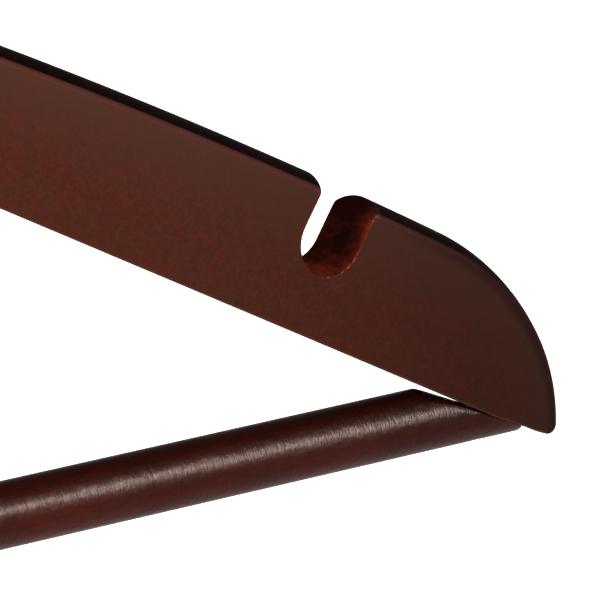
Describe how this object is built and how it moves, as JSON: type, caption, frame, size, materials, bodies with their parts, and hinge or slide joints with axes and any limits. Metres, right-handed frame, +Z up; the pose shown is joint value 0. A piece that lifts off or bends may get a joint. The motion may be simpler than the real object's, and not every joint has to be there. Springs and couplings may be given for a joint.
{
  "type": "wooden suit hanger with trouser bar",
  "caption": "Flat stained wooden suit hanger with strap notches, a round trouser bar screwed under its arms and a swivelling wire hook.",
  "frame": {"origin": "the point under the top of the hook's round that rests on the rail, in the middle of the hanger's thickness", "axes": "+X along the trouser bar towards the right arm's tip as seen from the front, +Y from the front face to the back face, +Z up"},
  "size_m": [0.445, 0.0126, 0.2368],
  "materials": {
    "stained_wood": "dark walnut stain under satin lacquer",
    "stained_dowel": "reddish walnut stain under semi-gloss lacquer",
    "chrome": "polished",
    "zinc_steel": "bright zinc plated"
  },
  "bodies": {
    "hook": {"hook": "chrome", "hook_nut": "zinc_steel"},
    "hanger": {"right_arm": "stained_wood", "left_arm": "stained_wood", "trouser_bar": "stained_dowel", "right_bar_screw": "zinc_steel", "left_bar_screw": "zinc_steel", "neck_ferrule": "chrome", "hook_washer": "zinc_steel"}
  },
  "joints": [
    {"name": "hook_swivel", "type": "hinge", "parent": "hook", "child": "hanger", "pos_m": [0, 0, -0.08], "axis": [0, 0, 1], "continuous": true}
  ]
}
